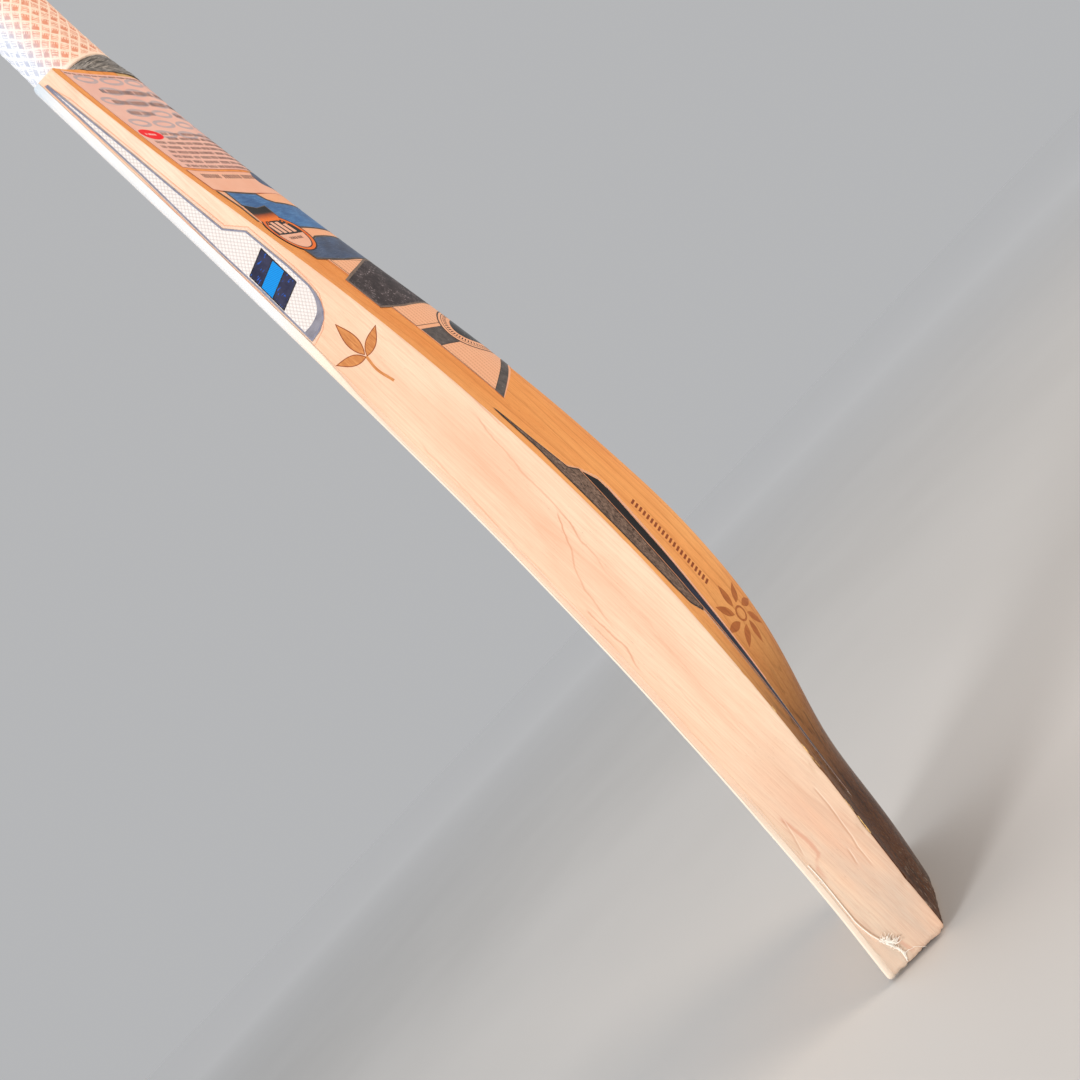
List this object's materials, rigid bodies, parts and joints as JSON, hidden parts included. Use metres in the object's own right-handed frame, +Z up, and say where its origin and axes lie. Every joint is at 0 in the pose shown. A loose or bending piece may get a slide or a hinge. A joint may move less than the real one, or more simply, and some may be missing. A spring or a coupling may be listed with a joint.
{
  "type": "cricket bat",
  "caption": "Full-size willow cricket bat with a bowed blade, high spine, thick edges, spliced round cane handle and rubber grip.",
  "frame": {"origin": "on the handle's axis at the middle of the grip", "axes": "+Z up along the handle away from the toe, +Y out of the back (spine side), -Y out of the hitting face, +X out of the right-hand edge as seen from the face with the handle up"},
  "size_m": [0.1086, 0.0855, 0.8624],
  "materials": {
    "willow": "pressed and oiled pale willow, satin",
    "cane": "raw cane",
    "spring_rubber": "matt",
    "twine": "waxed wound twine",
    "tape": "stretched tape",
    "grip_rubber": "moulded tiles",
    "label_print": "printed film",
    "blue_print": "metallic printed film",
    "hatch_print": "printed film",
    "badge_print": "printed film",
    "edge_print": "embossed printed film",
    "dark_print": "printed film",
    "clear_film": "clear facing sheet, satin"
  },
  "bodies": {
    "root": {"blade": "willow", "handle_binding": "twine", "throat_tape": "tape", "grip": "grip_rubber", "rubber_spring_front": "spring_rubber", "rubber_spring_middle": "spring_rubber", "rubber_spring_back": "spring_rubber", "back_label": "label_print", "back_graphic_upper": "blue_print", "back_graphic_lower": "hatch_print", "badge_right": "badge_print", "badge_left": "badge_print", "edge_sticker_right": "edge_print", "edge_sticker_left": "edge_print", "lower_sticker_right": "dark_print", "lower_sticker_left": "dark_print", "face_sheet": "clear_film", "cane_front_left": "cane", "cane_front_centre": "cane", "cane_front_right": "cane", "cane_mid_front_left": "cane", "cane_mid_front_centre": "cane", "cane_mid_front_right": "cane", "cane_mid_back_left": "cane", "cane_mid_back_centre": "cane", "cane_mid_back_right": "cane", "cane_back_left": "cane", "cane_back_centre": "cane", "cane_back_right": "cane"}
  },
  "joints": []
}
